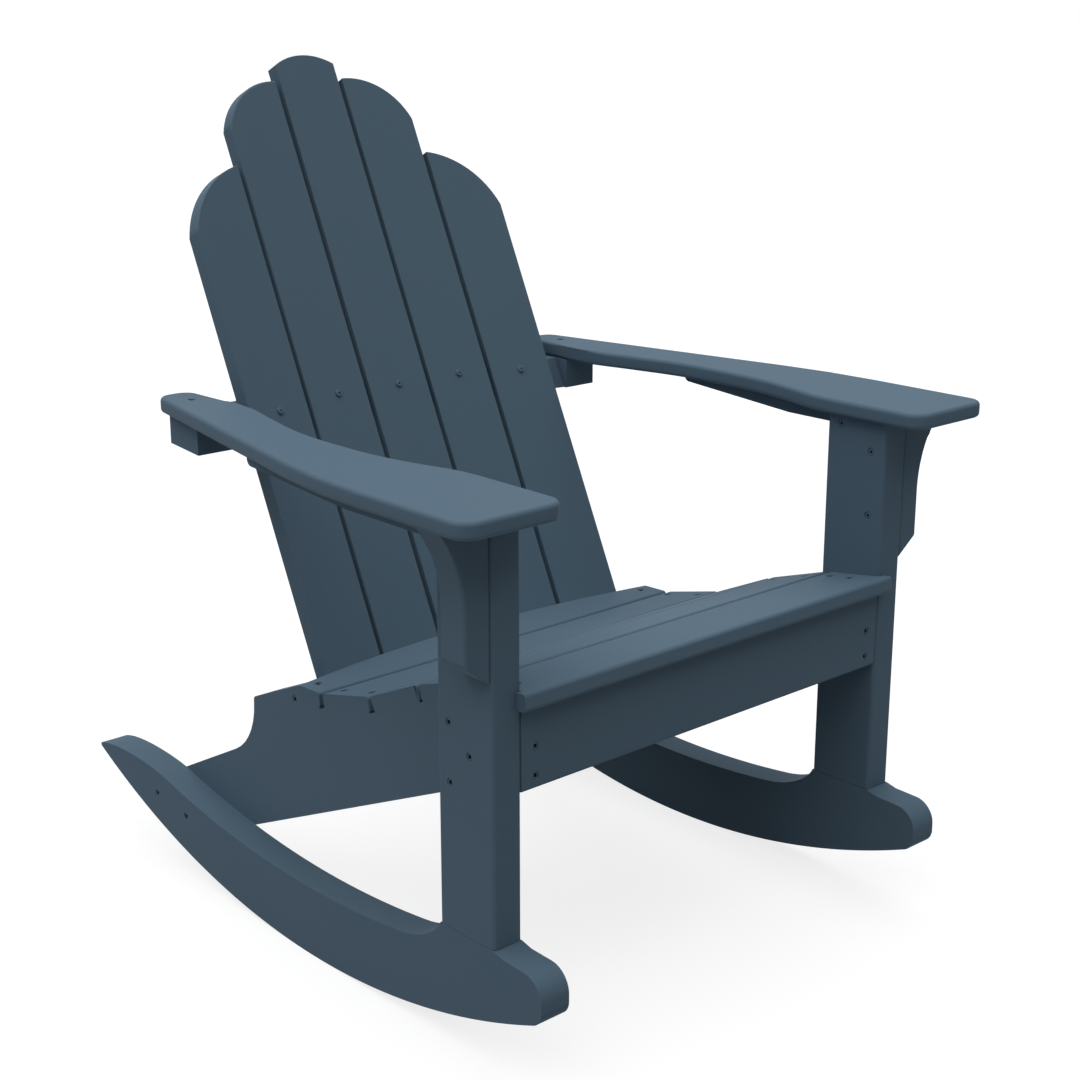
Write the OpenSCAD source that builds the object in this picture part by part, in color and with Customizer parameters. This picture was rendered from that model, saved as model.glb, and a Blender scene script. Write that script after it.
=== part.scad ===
// Rocking adirondack chair of thick plastic boards, joined with steel screws.
// X runs across the chair, Y to its rear and Z up, in millimetres. The origin is on the
// floor, under the middle of the chair's box. Parts are drawn for the +X side, with Y
// counted from the front face of the legs, and set_down() moves them to the origin.

/* [Boards] */
// Thickness of the heavy boards of the frame
frame_t = 38; // [32:0.5:42]
// Thickness of the thin boards of the seat, arms and back
board_t = 19; // [15:0.5:22]
// Rounding along the corners of the legs and the front of the seat
edge_r = 4.5; // [2:0.5:7]
// Rounding along the grooves between the seat boards
groove_r = 3.5; // [1:0.5:6]

/* [Legs] */
// Width over the outer faces of the two legs
frame_w = 640; // [600:5:700]
// Depth of a leg from front to back
leg_d = 87; // [80:0.5:96]
// Height of the feet of the legs, where they stand on the rockers
foot_h = 137.6; // [125:0.2:150]
// Height of the top of the legs, under the arms
arm_h = 598.7; // [560:0.1:640]

/* [Rockers] */
// Radius of the curve that the chair rocks on
rocker_r = 1011.6; // [930:0.2:1100]
// Distance from the front of the legs back to where that curve meets the floor
rest_y = 333.4; // [310:0.2:355]
// Reach of the nose in front of the legs
nose_reach = 72; // [64:1:84]
// Reach of the tail behind the front of the legs
tail_reach = 803; // [760:1:840]
// Height of the nose's front, from the rocking curve up to its top corner
nose_t = 47.6; // [44:0.2:49]
// Rounding of the top corner of the nose
nose_r = 27; // [20:1:28]
// Rounding of the bottom corner of the nose
toe_r = 19; // [12:0.5:21]
// Length of the small ramp up to the foot of the leg
toe_ramp = 15; // [8:1:24]
// Height of that ramp
toe_rise = 3.6; // [2:0.2:5]
// Length of the slope down behind the leg
heel_run = 72.5; // [60:0.5:90]
// Thickness of a rocker at its lowest place
saddle_t = 86.4; // [80:0.2:96]
// Distance of that place behind the front of the legs
saddle_y = 340; // [320:1:360]
// Radius of the hollow of the top
saddle_r = 1350; // [1250:10:1600]
// Distance from the end of the hollow to the tip of the tail
hump_run = 163; // [140:1:180]
// Height of the blunt tip of the tail
tail_t = 4; // [2:0.5:8]

/* [Stringers] */
// Height of a stringer at its front end, behind the apron
stringer_front_h = 80; // [70:1:90]
// Distance from the front of the legs back to where its lower edge meets the foot
stringer_heel_y = 588.3; // [560:0.1:610]
// Distance from the front of the legs back to the end of a stringer's foot
stringer_foot_y = 692; // [670:1:715]
// Height of the end face of the foot
stringer_foot_t = 16; // [12:1:22]
// Distance of the foot's lower edge above the rocking curve
foot_clear = 20; // [14:1:24]
// Slope of the upper edge of the foot
foot_slope = 27.4; // [25:0.1:27.8]
// Length of the horn behind the rear seat board
horn_run = 98; // [80:1:110]
// Slope of the upper edge of the horn
horn_slope = 23.4; // [21:0.1:24]
// Rounding of the tip of the horn
horn_r = 6; // [3:0.5:10]
// Radius of the hollow under the horn
horn_hollow_r = 83; // [60:1:84]

/* [Seat] */
// Width of a seat board
seat_slat_w = 89; // [84:0.5:92]
// Gap between two seat boards
seat_gap = 6; // [4:0.5:9]
// Overhang of the front seat board in front of the legs
seat_overhang = 13.5; // [8:0.5:18]
// Height of the front edge of the seat
seat_h = 414.5; // [400:0.5:430]
// Slope of the front seat board
slope_1 = 8.5; // [6:0.1:10]
// Slope of the second seat board
slope_2 = 17.9; // [16:0.1:20]
// Slope of the middle seat board
slope_3 = 24.3; // [22:0.1:26]
// Slope of the fourth seat board
slope_4 = 13.8; // [12:0.1:16]
// Slope of the rear seat board
slope_5 = 2; // [0:0.1:5]
// Width of the ears of the front seat board, in front of the legs
ear_w = 7.5; // [5:0.5:15]
// Height of the apron under the front seat board
apron_h = 89; // [84:0.5:96]

/* [Back] */
// Distance from the front edge of the rear seat board back to the face of the back
back_set = 69.3; // [60:0.1:78]
// Lean of the back from upright
recline = 25.2; // [23:0.1:28]
// Radius of the hollow that the back boards stand on
back_r = 1430; // [1200:10:1800]
// Length of the middle back board above the seat
back_len = 763.9; // [720:0.5:820]
// Width of a back board
back_slat_w = 90; // [84:0.5:93]
// Gap between two back boards
back_gap = 6.6; // [4:0.2:10]
// Length of the back boards below the top of the seat
back_below = 62; // [58:1:75]
// Depth of the upper rail from front to back
rail_d = 77.5; // [70:0.5:96]
// Thickness that the notch leaves of the upper rail at its middle
rail_web = 29.3; // [20:0.1:36]
// Length of the upper rail along its front
rail_len = 630; // [600:1:636]
// Slant of its ends, which run in towards the rear
rail_slant = 7.8; // [0:0.2:12]
// Width of the notch in the upper rail that the back boards lie in
notch_w = 530; // [500:1:560]
// Depth of the lower rail from front to back
lower_rail_d = 89; // [84:0.5:96]
// Depth of the housing in a stringer for the end of the lower rail
rail_housing = 6; // [4:0.5:8]

/* [Arms] */
// Width of the chair over the outer edges of the arms
arm_span = 798.4; // [785:0.2:825]
// Width between the inner edges of the arms at the front
arm_gap = 538; // [520:1:550]
// Overhang of the arms in front of the legs
arm_overhang = 55; // [40:1:70]
// Overhang of the arms behind the upper rail
arm_tail = 12.3; // [8:0.1:24]
// Width over the outer edges of the arms at their rear ends
arm_tail_span = 626; // [620:1:645]
// Length of the straight outer edge behind the front of the legs
arm_straight = 180; // [150:1:220]
// Depth of the hollow in the inner edge of an arm
arm_waist = 28.2; // [16:0.2:32]
// Rounding of the front corners of an arm
arm_r = 22; // [12:1:30]
// Rounding of the rear corners of an arm
arm_tail_r = 19; // [10:1:21]

/* [Arm supports] */
// Distance from the front of a leg back to the face of its bracket
bracket_set = 2; // [0:0.5:4]
// Width of the lower part of a bracket
bracket_w = 32.3; // [30:0.1:42]
// Height of a bracket
bracket_h = 170.7; // [150:0.5:190]
// Height of the slanted lower end of a bracket
bracket_cut = 24; // [15:1:34]
// Height of the flare at the top of a bracket
flare_h = 93.7; // [80:0.5:105]
// Width of that flare
flare_w = 33.5; // [24:0.5:38]
// Height of an arm support
support_h = 22.7; // [20:0.1:28]
// Height of an arm support at its rear end
support_end_h = 9.7; // [8:0.1:14]
// Distance from the front of a leg back to where a support starts to taper
support_taper_y = 180; // [160:1:220]
// Distance from the front of a leg back to the rear end of a support
support_end_y = 360; // [320:1:400]
// Rounding of the rear end of a support
support_r = 8; // [3:0.5:9]

/* [Fasteners] */
// Radius of the shank of a screw
shank_r = 2.3; // [2:0.1:2.8]
// Radius of the head of a screw
head_r = 4.6; // [4:0.1:5.2]
// Height of the head of a screw
head_h = 2.6; // [2:0.1:3.2]
// Length of the point of a screw
point_h = 5; // [3:0.5:7]
// Depth of a sunk head's top below the face of its board
sunk = 0.8; // [0.4:0.1:1.2]
// Length of the screws that join two heavy boards
long_screw = 50; // [46:1:53]
// Length of the screws of the seat, apron and lower rail
seat_screw = 38; // [32:1:42]
// Length of the screws of the upper rail
rail_screw = 30; // [26:1:31]
// Length of the screws up through the arm supports
support_screw = 32; // [28:1:34]
// Length of the screws into the edges of the back boards
side_screw = 64; // [58:1:70]
// Radius of the dowels between the legs and the rockers
dowel_r = 6; // [4:0.5:8]
// Length of a dowel
dowel_len = 60; // [40:2:80]

/* [Hidden] */

// Clearance of a screw or dowel in its hole
hole_fit = 0.1;
// Clearance between boards that are set close beside each other
board_fit = 0.2;
// Overrun of every cut past the face it opens
over = 5;
// Turn of one step along a rounded corner, in degrees
arc_step = 9;
// Steps along each freely curved stretch
curve_steps = 12;

lumber = [0.31, 0.38, 0.44];
steel = [0.55, 0.57, 0.6];

outer_x = frame_w / 2;
inner_x = outer_x - frame_t;
stringer_x = inner_x - frame_t;
stringer_mid_x = inner_x - frame_t / 2;
middle_y = (tail_reach - nose_reach) / 2;

// Corners and curves

function unit(v) = v / norm(v);

// Arc of radius r that rounds the corner b between the points a and c
function corner_arc(a, b, c, r) =
    let (
        to_a = unit(a - b),
        to_c = unit(c - b),
        half = acos(to_a * to_c) / 2,
        mid = b + unit(to_a + to_c) * r / sin(half),
        from = b + to_a * r / tan(half) - mid,
        to = b + to_c * r / tan(half) - mid,
        first = atan2(from[1], from[0]),
        turn = (atan2(to[1], to[0]) - first + 540) % 360 - 180,
        steps = ceil(abs(turn) / arc_step)
    )
    [for (i = [0:steps]) mid + r * [cos(first + turn * i / steps), sin(first + turn * i / steps)]];

// Outline through the corners [x, y, radius], each rounded by its radius
function rounded(corners) =
    let (count = len(corners), at = [for (c = corners) [c[0], c[1]]])
    [for (i = [0:count - 1])
        each corners[i][2] > 0
            ? corner_arc(at[(i + count - 1) % count], at[i], at[(i + 1) % count], corners[i][2])
            : [at[i]]];

// The same corners with no rounding
function sharp(points) = [for (p = points) [p[0], p[1], 0]];

// Cubic curve from a to d, drawn towards b and c
function bezier(a, b, c, d) =
    [for (i = [0:curve_steps])
        let (t = i / curve_steps, s = 1 - t)
        a * s * s * s + b * 3 * s * s * t + c * 3 * s * t * t + d * t * t * t];

// Smooth curve through all the points of a list
function through(p) =
    let (last = len(p) - 1)
    [for (i = [0:last - 1], j = [0:curve_steps - (i == last - 1 ? 0 : 1)])
        let (
            t = j / curve_steps,
            before = p[max(i - 1, 0)],
            after = p[min(i + 2, last)],
            bend = 2 * before - 5 * p[i] + 4 * p[i + 1] - after,
            twist = 3 * p[i] - before - 3 * p[i + 1] + after
        )
        (2 * p[i] + (p[i + 1] - before) * t + bend * t * t + twist * t * t * t) / 2];

// Meeting point of the lines through p and q, each with its slope angle below level
function meet(p, fall_p, q, fall_q) =
    let (run = (q[1] - p[1] + tan(fall_q) * (q[0] - p[0])) / (tan(fall_q) - tan(fall_p)))
    [p[0] + run, p[1] - run * tan(fall_p)];

// Rectangle with its corner at the origin and round corners
module rounded_rect(size, r) {
    translate([r, 0])
        square([size[0] - 2 * r, size[1]]);
    translate([0, r])
        square([size[0], size[1] - 2 * r]);
    for (x = [r, size[0] - r], y = [r, size[1] - r])
        translate([x, y])
            circle(r, $fn = 32);
}

// Extrudes an outline drawn in Y and Z from one X to another
module across(from, to) {
    translate([from, 0, 0])
        rotate([90, 0, 90])
            linear_extrude(to - from)
                children();
}

// Extrudes an outline drawn in X and Z from one Y to another
module along(from, to) {
    translate([0, to, 0])
        rotate([90, 0, 0])
            linear_extrude(to - from)
                children();
}

module both_sides() {
    children();
    mirror([1, 0, 0])
        children();
}

module set_down() {
    translate([0, -middle_y, 0])
        children();
}

// Screws and dowels, drawn with the face of the board at the origin and pointing down

module screw(length) {
    dome = head_r / 3;
    color(steel)
        translate([0, 0, -sunk])
            rotate_extrude($fn = 32)
                polygon([
                    [0, 0],
                    [head_r - dome, 0],
                    [head_r, -dome],
                    [head_r, -head_h],
                    [shank_r, -head_h],
                    [shank_r, point_h - length],
                    [0, -length]
                ]);
}

// Screw whose head stands proud of the face
module proud_screw(length) {
    translate([0, 0, head_h + sunk])
        screw(length);
}

module shank_hole(length) {
    translate([0, 0, -length - hole_fit - sunk])
        cylinder(h = length + hole_fit + sunk + over, r = shank_r + hole_fit, $fn = 24);
}

module screw_hole(length) {
    shank_hole(length);
    translate([0, 0, -head_h - sunk])
        cylinder(h = head_h + sunk + over, r = head_r + hole_fit, $fn = 32);
}

module dowel(grow = 0) {
    translate([0, 0, -dowel_len / 2 - grow])
        cylinder(h = dowel_len + 2 * grow, r = dowel_r + grow, $fn = 32);
}

// Seat boards: each hangs behind the one before it, at its own slope

seat_slopes = [slope_1, slope_2, slope_3, slope_4, slope_5];
seat_last = len(seat_slopes) - 1;
// Distance of the screws from the long edges of a seat board
seat_screw_inset = 17;
// Distance behind the apron of the front screw in the front seat board
front_screw_inset = 10;
// Distance of the screw in the rear seat board from its front edge
rear_screw_inset = 28;

// Front top corner of seat board i, as [y, z]
function seat_at(i) =
    i == 0
        ? [-seat_overhang, seat_h]
        : let (joint = (seat_slopes[i - 1] + seat_slopes[i]) / 2)
          seat_on(i - 1, seat_slat_w) + seat_gap * [cos(joint), -sin(joint)];

// Point on the top of seat board i, a distance behind its front edge
function seat_on(i, back) =
    seat_at(i) + back * [cos(seat_slopes[i]), -sin(seat_slopes[i])];

// Front corner of the underside of seat board i
function seat_under(i) =
    seat_at(i) - board_t * [sin(seat_slopes[i]), cos(seat_slopes[i])];

// Where the undersides of seat boards i and i + 1 meet on the stringer
function under_joint(i) =
    meet(seat_under(i), seat_slopes[i], seat_under(i + 1), seat_slopes[i + 1]);

// Height of the underside of the front seat board at y
function front_under_z(y) = seat_under(0)[1] - (y - seat_under(0)[0]) * tan(slope_1);

module on_seat(i, back) {
    p = seat_on(i, back);
    translate([0, p[0], p[1]])
        rotate([-seat_slopes[i], 0, 0])
            children();
}

function front_screw_back() =
    (board_t + front_screw_inset + seat_overhang) / cos(slope_1);

// Distances behind its front edge of the screws in seat board i
function seat_screw_backs(i) =
    i == seat_last
        ? [rear_screw_inset]
        : [i == 0 ? front_screw_back() : seat_screw_inset, seat_slat_w - seat_screw_inset];

module seat_screw_places(i) {
    for (back = seat_screw_backs(i))
        on_seat(i, back)
            translate([stringer_mid_x, 0, 0])
                children();
}

module seat_board(i, half_w) {
    r = i == 0 ? edge_r : groove_r;
    p = seat_at(i);
    across(-half_w, half_w)
        translate(p)
            rotate(-seat_slopes[i])
                translate([0, -board_t])
                    rounded_rect([seat_slat_w, board_t], r);
}

// Front board, cut out round the legs, with an ear in front of each
module front_seat_board() {
    difference() {
        seat_board(0, inner_x + ear_w);
        both_sides()
            translate([inner_x - board_fit, -board_fit, seat_h - leg_d])
                cube([ear_w + board_fit + over, leg_d, 2 * leg_d]);
    }
}

// Rear board, with its rear edge curved to the hollow of the back
module rear_seat_board() {
    intersection() {
        seat_board(seat_last, inner_x);
        back_hollow(back_r - board_fit);
    }
}

module seat_slat(i) {
    color(lumber)
        set_down()
            difference() {
                if (i == 0)
                    front_seat_board();
                else if (i == seat_last)
                    rear_seat_board();
                else
                    seat_board(i, inner_x);
                both_sides()
                    seat_screw_places(i)
                        screw_hole(seat_screw);
            }
}

module seat_screws() {
    set_down()
        both_sides()
            for (i = [0:seat_last])
                seat_screw_places(i)
                    screw(seat_screw);
}

// Back: the boards stand side by side round an upright hollow that leans back as a whole

back_root = seat_on(seat_last, back_set);
// Half of the turn round the hollow from one board to the next
half_cell = atan((back_slat_w + back_gap) / 2 / back_r);
// Middles of the arcs that round the tops: across the board and up it
crown_mid_shares = [[0, 0.8865], [-0.461, 0.8373], [-0.821, 0.6558]];
// Radii of those arcs, as shares of the board's width
crown_r_shares = [0.967, 1.019, 1.381];

// Height up the slanted back at which its front face is at height z
function up_back(z) = (z - back_root[1]) / cos(recline);

// Y of the rear face of the middle board at height z
function back_rear_y(z) =
    back_root[0] + (z - back_root[1]) * tan(recline) + board_t / cos(recline);

// Place on the outer board: across it, into its thickness and up it, as [x, y, z]
function on_outer_slat(x, deep, up) =
    let (
        turn = 4 * half_cell,
        flat_x = (back_r + deep) * sin(turn) + x * cos(turn),
        flat_y = (back_r + deep) * cos(turn) - back_r - x * sin(turn)
    )
    [flat_x,
        back_root[0] + flat_y * cos(recline) + up * sin(recline),
        back_root[1] - flat_y * sin(recline) + up * cos(recline)];

// Frame of the back: X across, Y into its thickness and Z up the boards
module on_back() {
    translate([0, back_root[0], back_root[1]])
        rotate([-recline, 0, 0])
            children();
}

// Solid cylinder that fills the hollow of the back out to a radius
module back_hollow(r) {
    on_back()
        translate([0, -back_r, -back_len])
            cylinder(h = 2 * back_len, r = r, $fn = 720);
}

// Turns a board, drawn at the middle, to place k from -2 to 2
module slat_place(k) {
    on_back()
        translate([0, -back_r, 0])
            rotate([0, 0, -2 * k * half_cell])
                translate([0, back_r, 0])
                    children();
}

// Outline of a back board, whose outer side is at +X
module slat_outline(kind) {
    mid = [crown_mid_shares[kind][0] * back_slat_w, crown_mid_shares[kind][1] * back_len];
    translate([-back_slat_w / 2, -back_below])
        square([back_slat_w, back_below + mid[1]]);
    intersection() {
        translate([-back_slat_w / 2, 0])
            square([back_slat_w, back_len + over]);
        translate(mid)
            circle(crown_r_shares[kind] * back_slat_w, $fn = 180);
    }
}

// Drop of the outer boards' upper screws below the others
outer_screw_drop = 10;
// Height of the lower screws above the bottom of the back boards
lower_screw_rise = 20;

function upper_screw_up(k) =
    up_back(arm_h - (abs(k) == 2 ? outer_screw_drop : 0));

module upper_screw_place(k) {
    slat_place(k)
        translate([0, 0, upper_screw_up(k)])
            rotate([90, 0, 0])
                children();
}

module lower_screw_place(k) {
    slat_place(k)
        translate([0, board_t, lower_screw_rise - back_below])
            rotate([-90, 0, 0])
                children();
}

// Screw through each stringer into the edge of the outer back board
side_screw_up = -25.6;
side_screw_at = on_outer_slat(back_slat_w / 2, board_t / 2, side_screw_up);

module side_screw_place() {
    translate([inner_x, side_screw_at[1], side_screw_at[2]])
        rotate([0, 90, 0])
            children();
}

module back_slat(k) {
    color(lumber)
        set_down()
            difference() {
                slat_place(k)
                    mirror([k < 0 ? 1 : 0, 0, 0])
                        translate([0, board_t, 0])
                            rotate([90, 0, 0])
                                linear_extrude(board_t)
                                    slat_outline(abs(k));
                upper_screw_place(k)
                    shank_hole(rail_screw);
                lower_screw_place(k)
                    screw_hole(seat_screw);
                if (abs(k) == 2)
                    mirror([k < 0 ? 1 : 0, 0, 0])
                        side_screw_place()
                            shank_hole(side_screw);
            }
}

module upper_rail_screws() {
    set_down()
        for (k = [-2:2])
            upper_screw_place(k)
                proud_screw(rail_screw);
}

module lower_rail_screws() {
    set_down()
        for (k = [-2:2])
            lower_screw_place(k)
                screw(seat_screw);
}

module back_side_screws() {
    set_down()
        both_sides()
            side_screw_place()
                screw(side_screw);
}

// Upper rail: a flat board under the arms, notched round the rear corners of the back boards

rail_rear_y = back_rear_y(arm_h) + rail_web;
rail_front_y = rail_rear_y - rail_d;
back_corner_r = norm([back_r + board_t, back_slat_w / 2]);

module rail_blank() {
    front = rail_len / 2;
    rear = front - rail_d * tan(rail_slant);
    translate([0, 0, arm_h - frame_t])
        linear_extrude(frame_t)
            polygon([
                [-front, rail_front_y],
                [front, rail_front_y],
                [rear, rail_rear_y],
                [-rear, rail_rear_y]
            ]);
}

module rail_notch() {
    intersection() {
        back_hollow(back_corner_r + board_fit);
        translate([-notch_w / 2, rail_front_y - over, arm_h - frame_t - over])
            cube([notch_w, rail_d, frame_t + 2 * over]);
    }
}

module upper_back_rail() {
    color(lumber)
        set_down()
            difference() {
                rail_blank();
                rail_notch();
                for (k = [-2:2])
                    upper_screw_place(k)
                        shank_hole(rail_screw);
                both_sides()
                    arm_screw_place()
                        screw_hole(long_screw);
            }
}

// Lower rail: a heavy board under the rear seat board, its ends let into the stringers

module lower_rail_blank(grow = 0) {
    half = stringer_x + rail_housing + grow;
    intersection() {
        on_seat(seat_last, back_set - lower_rail_d - grow)
            translate([-half, 0, -board_t - frame_t - grow])
                cube([2 * half, lower_rail_d + frame_t, frame_t + grow]);
        back_hollow(back_r - board_fit + grow);
    }
}

module lower_back_rail() {
    color(lumber)
        set_down()
            difference() {
                lower_rail_blank();
                for (k = [-2:2])
                    lower_screw_place(k)
                        shank_hole(seat_screw);
            }
}

// Legs

// Places of the screws from a leg into its stringer: across the leg and up the stringer
leg_screw_shares = [[0.792, 0.853], [0.418, 0.4525], [0.775, 0.1575]];
// Places of the dowels across the leg
dowel_shares = [0.25, 0.75];
// Heights of the screws from a leg into its bracket
bracket_screw_shares = [0.323, 0.777];
// Place of the screw from a leg into its arm support
support_screw_share = 0.767;

// Lower edge of a stringer, from its front end down to the foot's curve
edge_front = [board_t, front_under_z(board_t) - stringer_front_h];
edge_foot = [stringer_heel_y, foot_curve_z(stringer_heel_y)];

function lower_edge_z(y) =
    edge_front[1] + (y - edge_front[0]) / (edge_foot[0] - edge_front[0]) * (edge_foot[1] - edge_front[1]);

module leg_screw_places() {
    for (share = leg_screw_shares) {
        y = share[0] * leg_d;
        low = lower_edge_z(y);
        translate([outer_x, y, low + share[1] * (front_under_z(y) - low)])
            rotate([0, 90, 0])
                children();
    }
}

module bracket_screw_places() {
    for (share = bracket_screw_shares)
        translate([inner_x, bracket_set + frame_t / 2, arm_h - bracket_h + share * bracket_h])
            rotate([0, -90, 0])
                children();
    translate([inner_x, support_screw_share * leg_d, arm_h - support_h / 2])
        rotate([0, -90, 0])
            children();
}

module dowel_places() {
    for (share = dowel_shares)
        translate([inner_x + frame_t / 2, share * leg_d, foot_h])
            children();
}

module leg() {
    color(lumber)
        difference() {
            translate([inner_x, 0, foot_h])
                linear_extrude(arm_h - foot_h)
                    rounded_rect([frame_t, leg_d], edge_r);
            leg_screw_places()
                screw_hole(long_screw);
            bracket_screw_places()
                screw_hole(long_screw);
            dowel_places()
                dowel(hole_fit);
        }
}

module leg_left() {
    set_down()
        leg();
}

module leg_right() {
    mirror([1, 0, 0])
        leg_left();
}

module leg_dowels() {
    color(lumber)
        set_down()
            both_sides()
                dowel_places()
                    dowel();
}

module leg_screws() {
    set_down()
        both_sides()
            leg_screw_places()
                screw(long_screw);
}

module bracket_screws() {
    set_down()
        both_sides()
            bracket_screw_places()
                screw(long_screw);
}

// Rockers: a true arc below, and a top that dips behind the leg and swells at the tail

// Pull of the two curves of the top, along their run and down or up their height
heel_shares = [[0.09, 0.388], [0.476, 0.88]];
hump_shares = [[0.233, 0.07], [0.767, 0.148]];
// Places of the screws into the stringer's foot: ahead of its end, and above the curve
rocker_screw_shares = [[0.14, 0.65], [0.042, 0.543]];

function arc_z(y) = rocker_r - sqrt(rocker_r * rocker_r - pow(y - rest_y, 2));

// Height of the lower edge of a stringer's foot, which runs round with the rocking curve
function foot_curve_z(y) =
    rocker_r - sqrt(pow(rocker_r - foot_clear, 2) - pow(y - rest_y, 2));

function saddle_z(y) =
    arc_z(saddle_y) + saddle_t + saddle_r - sqrt(saddle_r * saddle_r - pow(y - saddle_y, 2));

saddle_start = leg_d + heel_run;
saddle_end = tail_reach - hump_run;
heel_drop = foot_h - saddle_z(saddle_start);

// The rocking curve turns about this point, from the tail to the rounding of the toe
rock_mid = [rest_y, rocker_r];
toe_y = toe_r - nose_reach;
toe_mid = [toe_y, rocker_r - sqrt(pow(rocker_r - toe_r, 2) - pow(toe_y - rest_y, 2))];
tail_turn = asin((tail_reach - rest_y) / rocker_r) - 90;
toe_turn = asin((toe_y - rest_y) / (rocker_r - toe_r)) - 90;

// Arc round mid from one angle to another, without its ends
function arc(mid, r, from, to, steps) =
    [for (i = [1:steps - 1])
        let (turn = from + (to - from) * i / steps)
        mid + r * [cos(turn), sin(turn)]];

heel_curve = bezier(
    [leg_d, foot_h],
    [leg_d + heel_shares[0][0] * heel_run, foot_h - heel_shares[0][1] * heel_drop],
    [leg_d + heel_shares[1][0] * heel_run, foot_h - heel_shares[1][1] * heel_drop],
    [saddle_start, saddle_z(saddle_start)]
);
saddle_curve = [
    for (i = [1:2 * curve_steps - 1])
        let (y = saddle_start + (saddle_end - saddle_start) * i / (2 * curve_steps))
        [y, saddle_z(y)]
];
hump_curve = bezier(
    [saddle_end, saddle_z(saddle_end)],
    [saddle_end + hump_shares[0][0] * hump_run, saddle_z(saddle_end) * (1 + hump_shares[0][1])],
    [saddle_end + hump_shares[1][0] * hump_run, arc_z(tail_reach) * (1 + hump_shares[1][1])],
    [tail_reach, arc_z(tail_reach) + tail_t]
);

module rocker_outline() {
    polygon(concat(
        [[tail_reach, arc_z(tail_reach)]],
        arc(rock_mid, rocker_r, tail_turn, toe_turn, 8 * curve_steps),
        [rock_mid + rocker_r * [cos(toe_turn), sin(toe_turn)]],
        arc(toe_mid, toe_r, toe_turn, -180, curve_steps),
        rounded([
            [-nose_reach, toe_mid[1], 0],
            [-nose_reach, arc_z(-nose_reach) + nose_t, nose_r],
            [-toe_ramp, foot_h - toe_rise, 0],
            [0, foot_h, 0]
        ]),
        heel_curve,
        saddle_curve,
        hump_curve
    ));
}

module rocker_screw_places() {
    for (share = rocker_screw_shares) {
        y = stringer_foot_y * (1 - share[0]);
        translate([outer_x, y, arc_z(y) + share[1] * (saddle_z(y) - arc_z(y))])
            rotate([0, 90, 0])
                children();
    }
}

module rocker() {
    color(lumber)
        difference() {
            across(inner_x, outer_x)
                rocker_outline();
            dowel_places()
                dowel(hole_fit);
            rocker_screw_places()
                screw_hole(long_screw);
        }
}

module rocker_left() {
    set_down()
        rocker();
}

module rocker_right() {
    mirror([1, 0, 0])
        rocker_left();
}

module rocker_screws() {
    set_down()
        both_sides()
            rocker_screw_places()
                screw(long_screw);
}

// Stringers: carry the seat from the legs down to the rockers

// Sagitta of the hollow of the back at the outer face of a stringer
hollow_sag = back_r - sqrt(back_r * back_r - inner_x * inner_x);
// Where the top of the rear seat board meets the back, at the stringer's outer face
step_at = meet(
    seat_at(seat_last), slope_5,
    [back_root[0] - hollow_sag / cos(recline), back_root[1]], recline - 90
);
horn_tip = step_at + horn_run * [1, -tan(horn_slope)];
foot_end_z = arc_z(stringer_foot_y) + foot_clear + stringer_foot_t;
horn_foot_z = foot_end_z + (stringer_foot_y - horn_tip[0]) * tan(foot_slope);
// Where the plane of the rear seat board's underside runs out behind, on the horn's edge
wedge_end = meet(seat_under(seat_last), slope_5, step_at, horn_slope);
// Point of the horn's edge, drawn on over the rear seat board
wedge_top = step_at - (step_at[0] - under_joint(seat_last - 1)[0]) * [1, -tan(horn_slope)];

// Outline under the seat, without the step behind the rear seat board
module stringer_outline() {
    intersection() {
        polygon(rounded(concat(
            sharp([
                [board_t, lower_edge_z(board_t)],
                [board_t, front_under_z(board_t)]
            ]),
            sharp([for (i = [0:seat_last - 1]) under_joint(i)]),
            sharp([wedge_end]),
            [
                [horn_tip[0], horn_tip[1], horn_r],
                [horn_tip[0], horn_foot_z, horn_hollow_r],
                [stringer_foot_y, foot_end_z, 0],
                [stringer_foot_y, lower_edge_z(stringer_foot_y), 0]
            ]
        )));
        translate([rest_y, rocker_r])
            circle(rocker_r - foot_clear, $fn = 720);
    }
}

// Step behind the rear seat board, hollowed like the edge of that board
module stringer_step() {
    difference() {
        across(stringer_x, inner_x)
            polygon([under_joint(seat_last - 1), wedge_end, wedge_top]);
        back_hollow(back_r);
    }
}

module stringer() {
    color(lumber)
        difference() {
            union() {
                across(stringer_x, inner_x)
                    stringer_outline();
                stringer_step();
            }
            lower_rail_blank(hole_fit);
            leg_screw_places()
                shank_hole(long_screw);
            rocker_screw_places()
                shank_hole(long_screw);
            apron_screw_places()
                shank_hole(seat_screw);
            for (i = [0:seat_last])
                seat_screw_places(i)
                    shank_hole(seat_screw);
            side_screw_place()
                screw_hole(side_screw);
        }
}

module stringer_left() {
    set_down()
        stringer();
}

module stringer_right() {
    mirror([1, 0, 0])
        stringer_left();
}

// Apron: closes the front under the seat, between the legs

// Heights of its screws
apron_screw_shares = [0.17, 0.53];

module apron_screw_places() {
    for (share = apron_screw_shares)
        translate([stringer_mid_x, 0, front_under_z(board_t) + apron_h * (share - 1)])
            rotate([90, 0, 0])
                children();
}

module front_apron() {
    low = front_under_z(board_t) - apron_h;
    color(lumber)
        set_down()
            difference() {
                across(board_fit - inner_x, inner_x - board_fit)
                    polygon(rounded([
                        [0, low, edge_r],
                        [board_t, low, edge_r],
                        [board_t, front_under_z(board_t), 0],
                        [0, front_under_z(0), 0]
                    ]));
                both_sides()
                    apron_screw_places()
                        screw_hole(seat_screw);
            }
}

module apron_screws() {
    set_down()
        both_sides()
            apron_screw_places()
                screw(seat_screw);
}

// Arms

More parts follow.
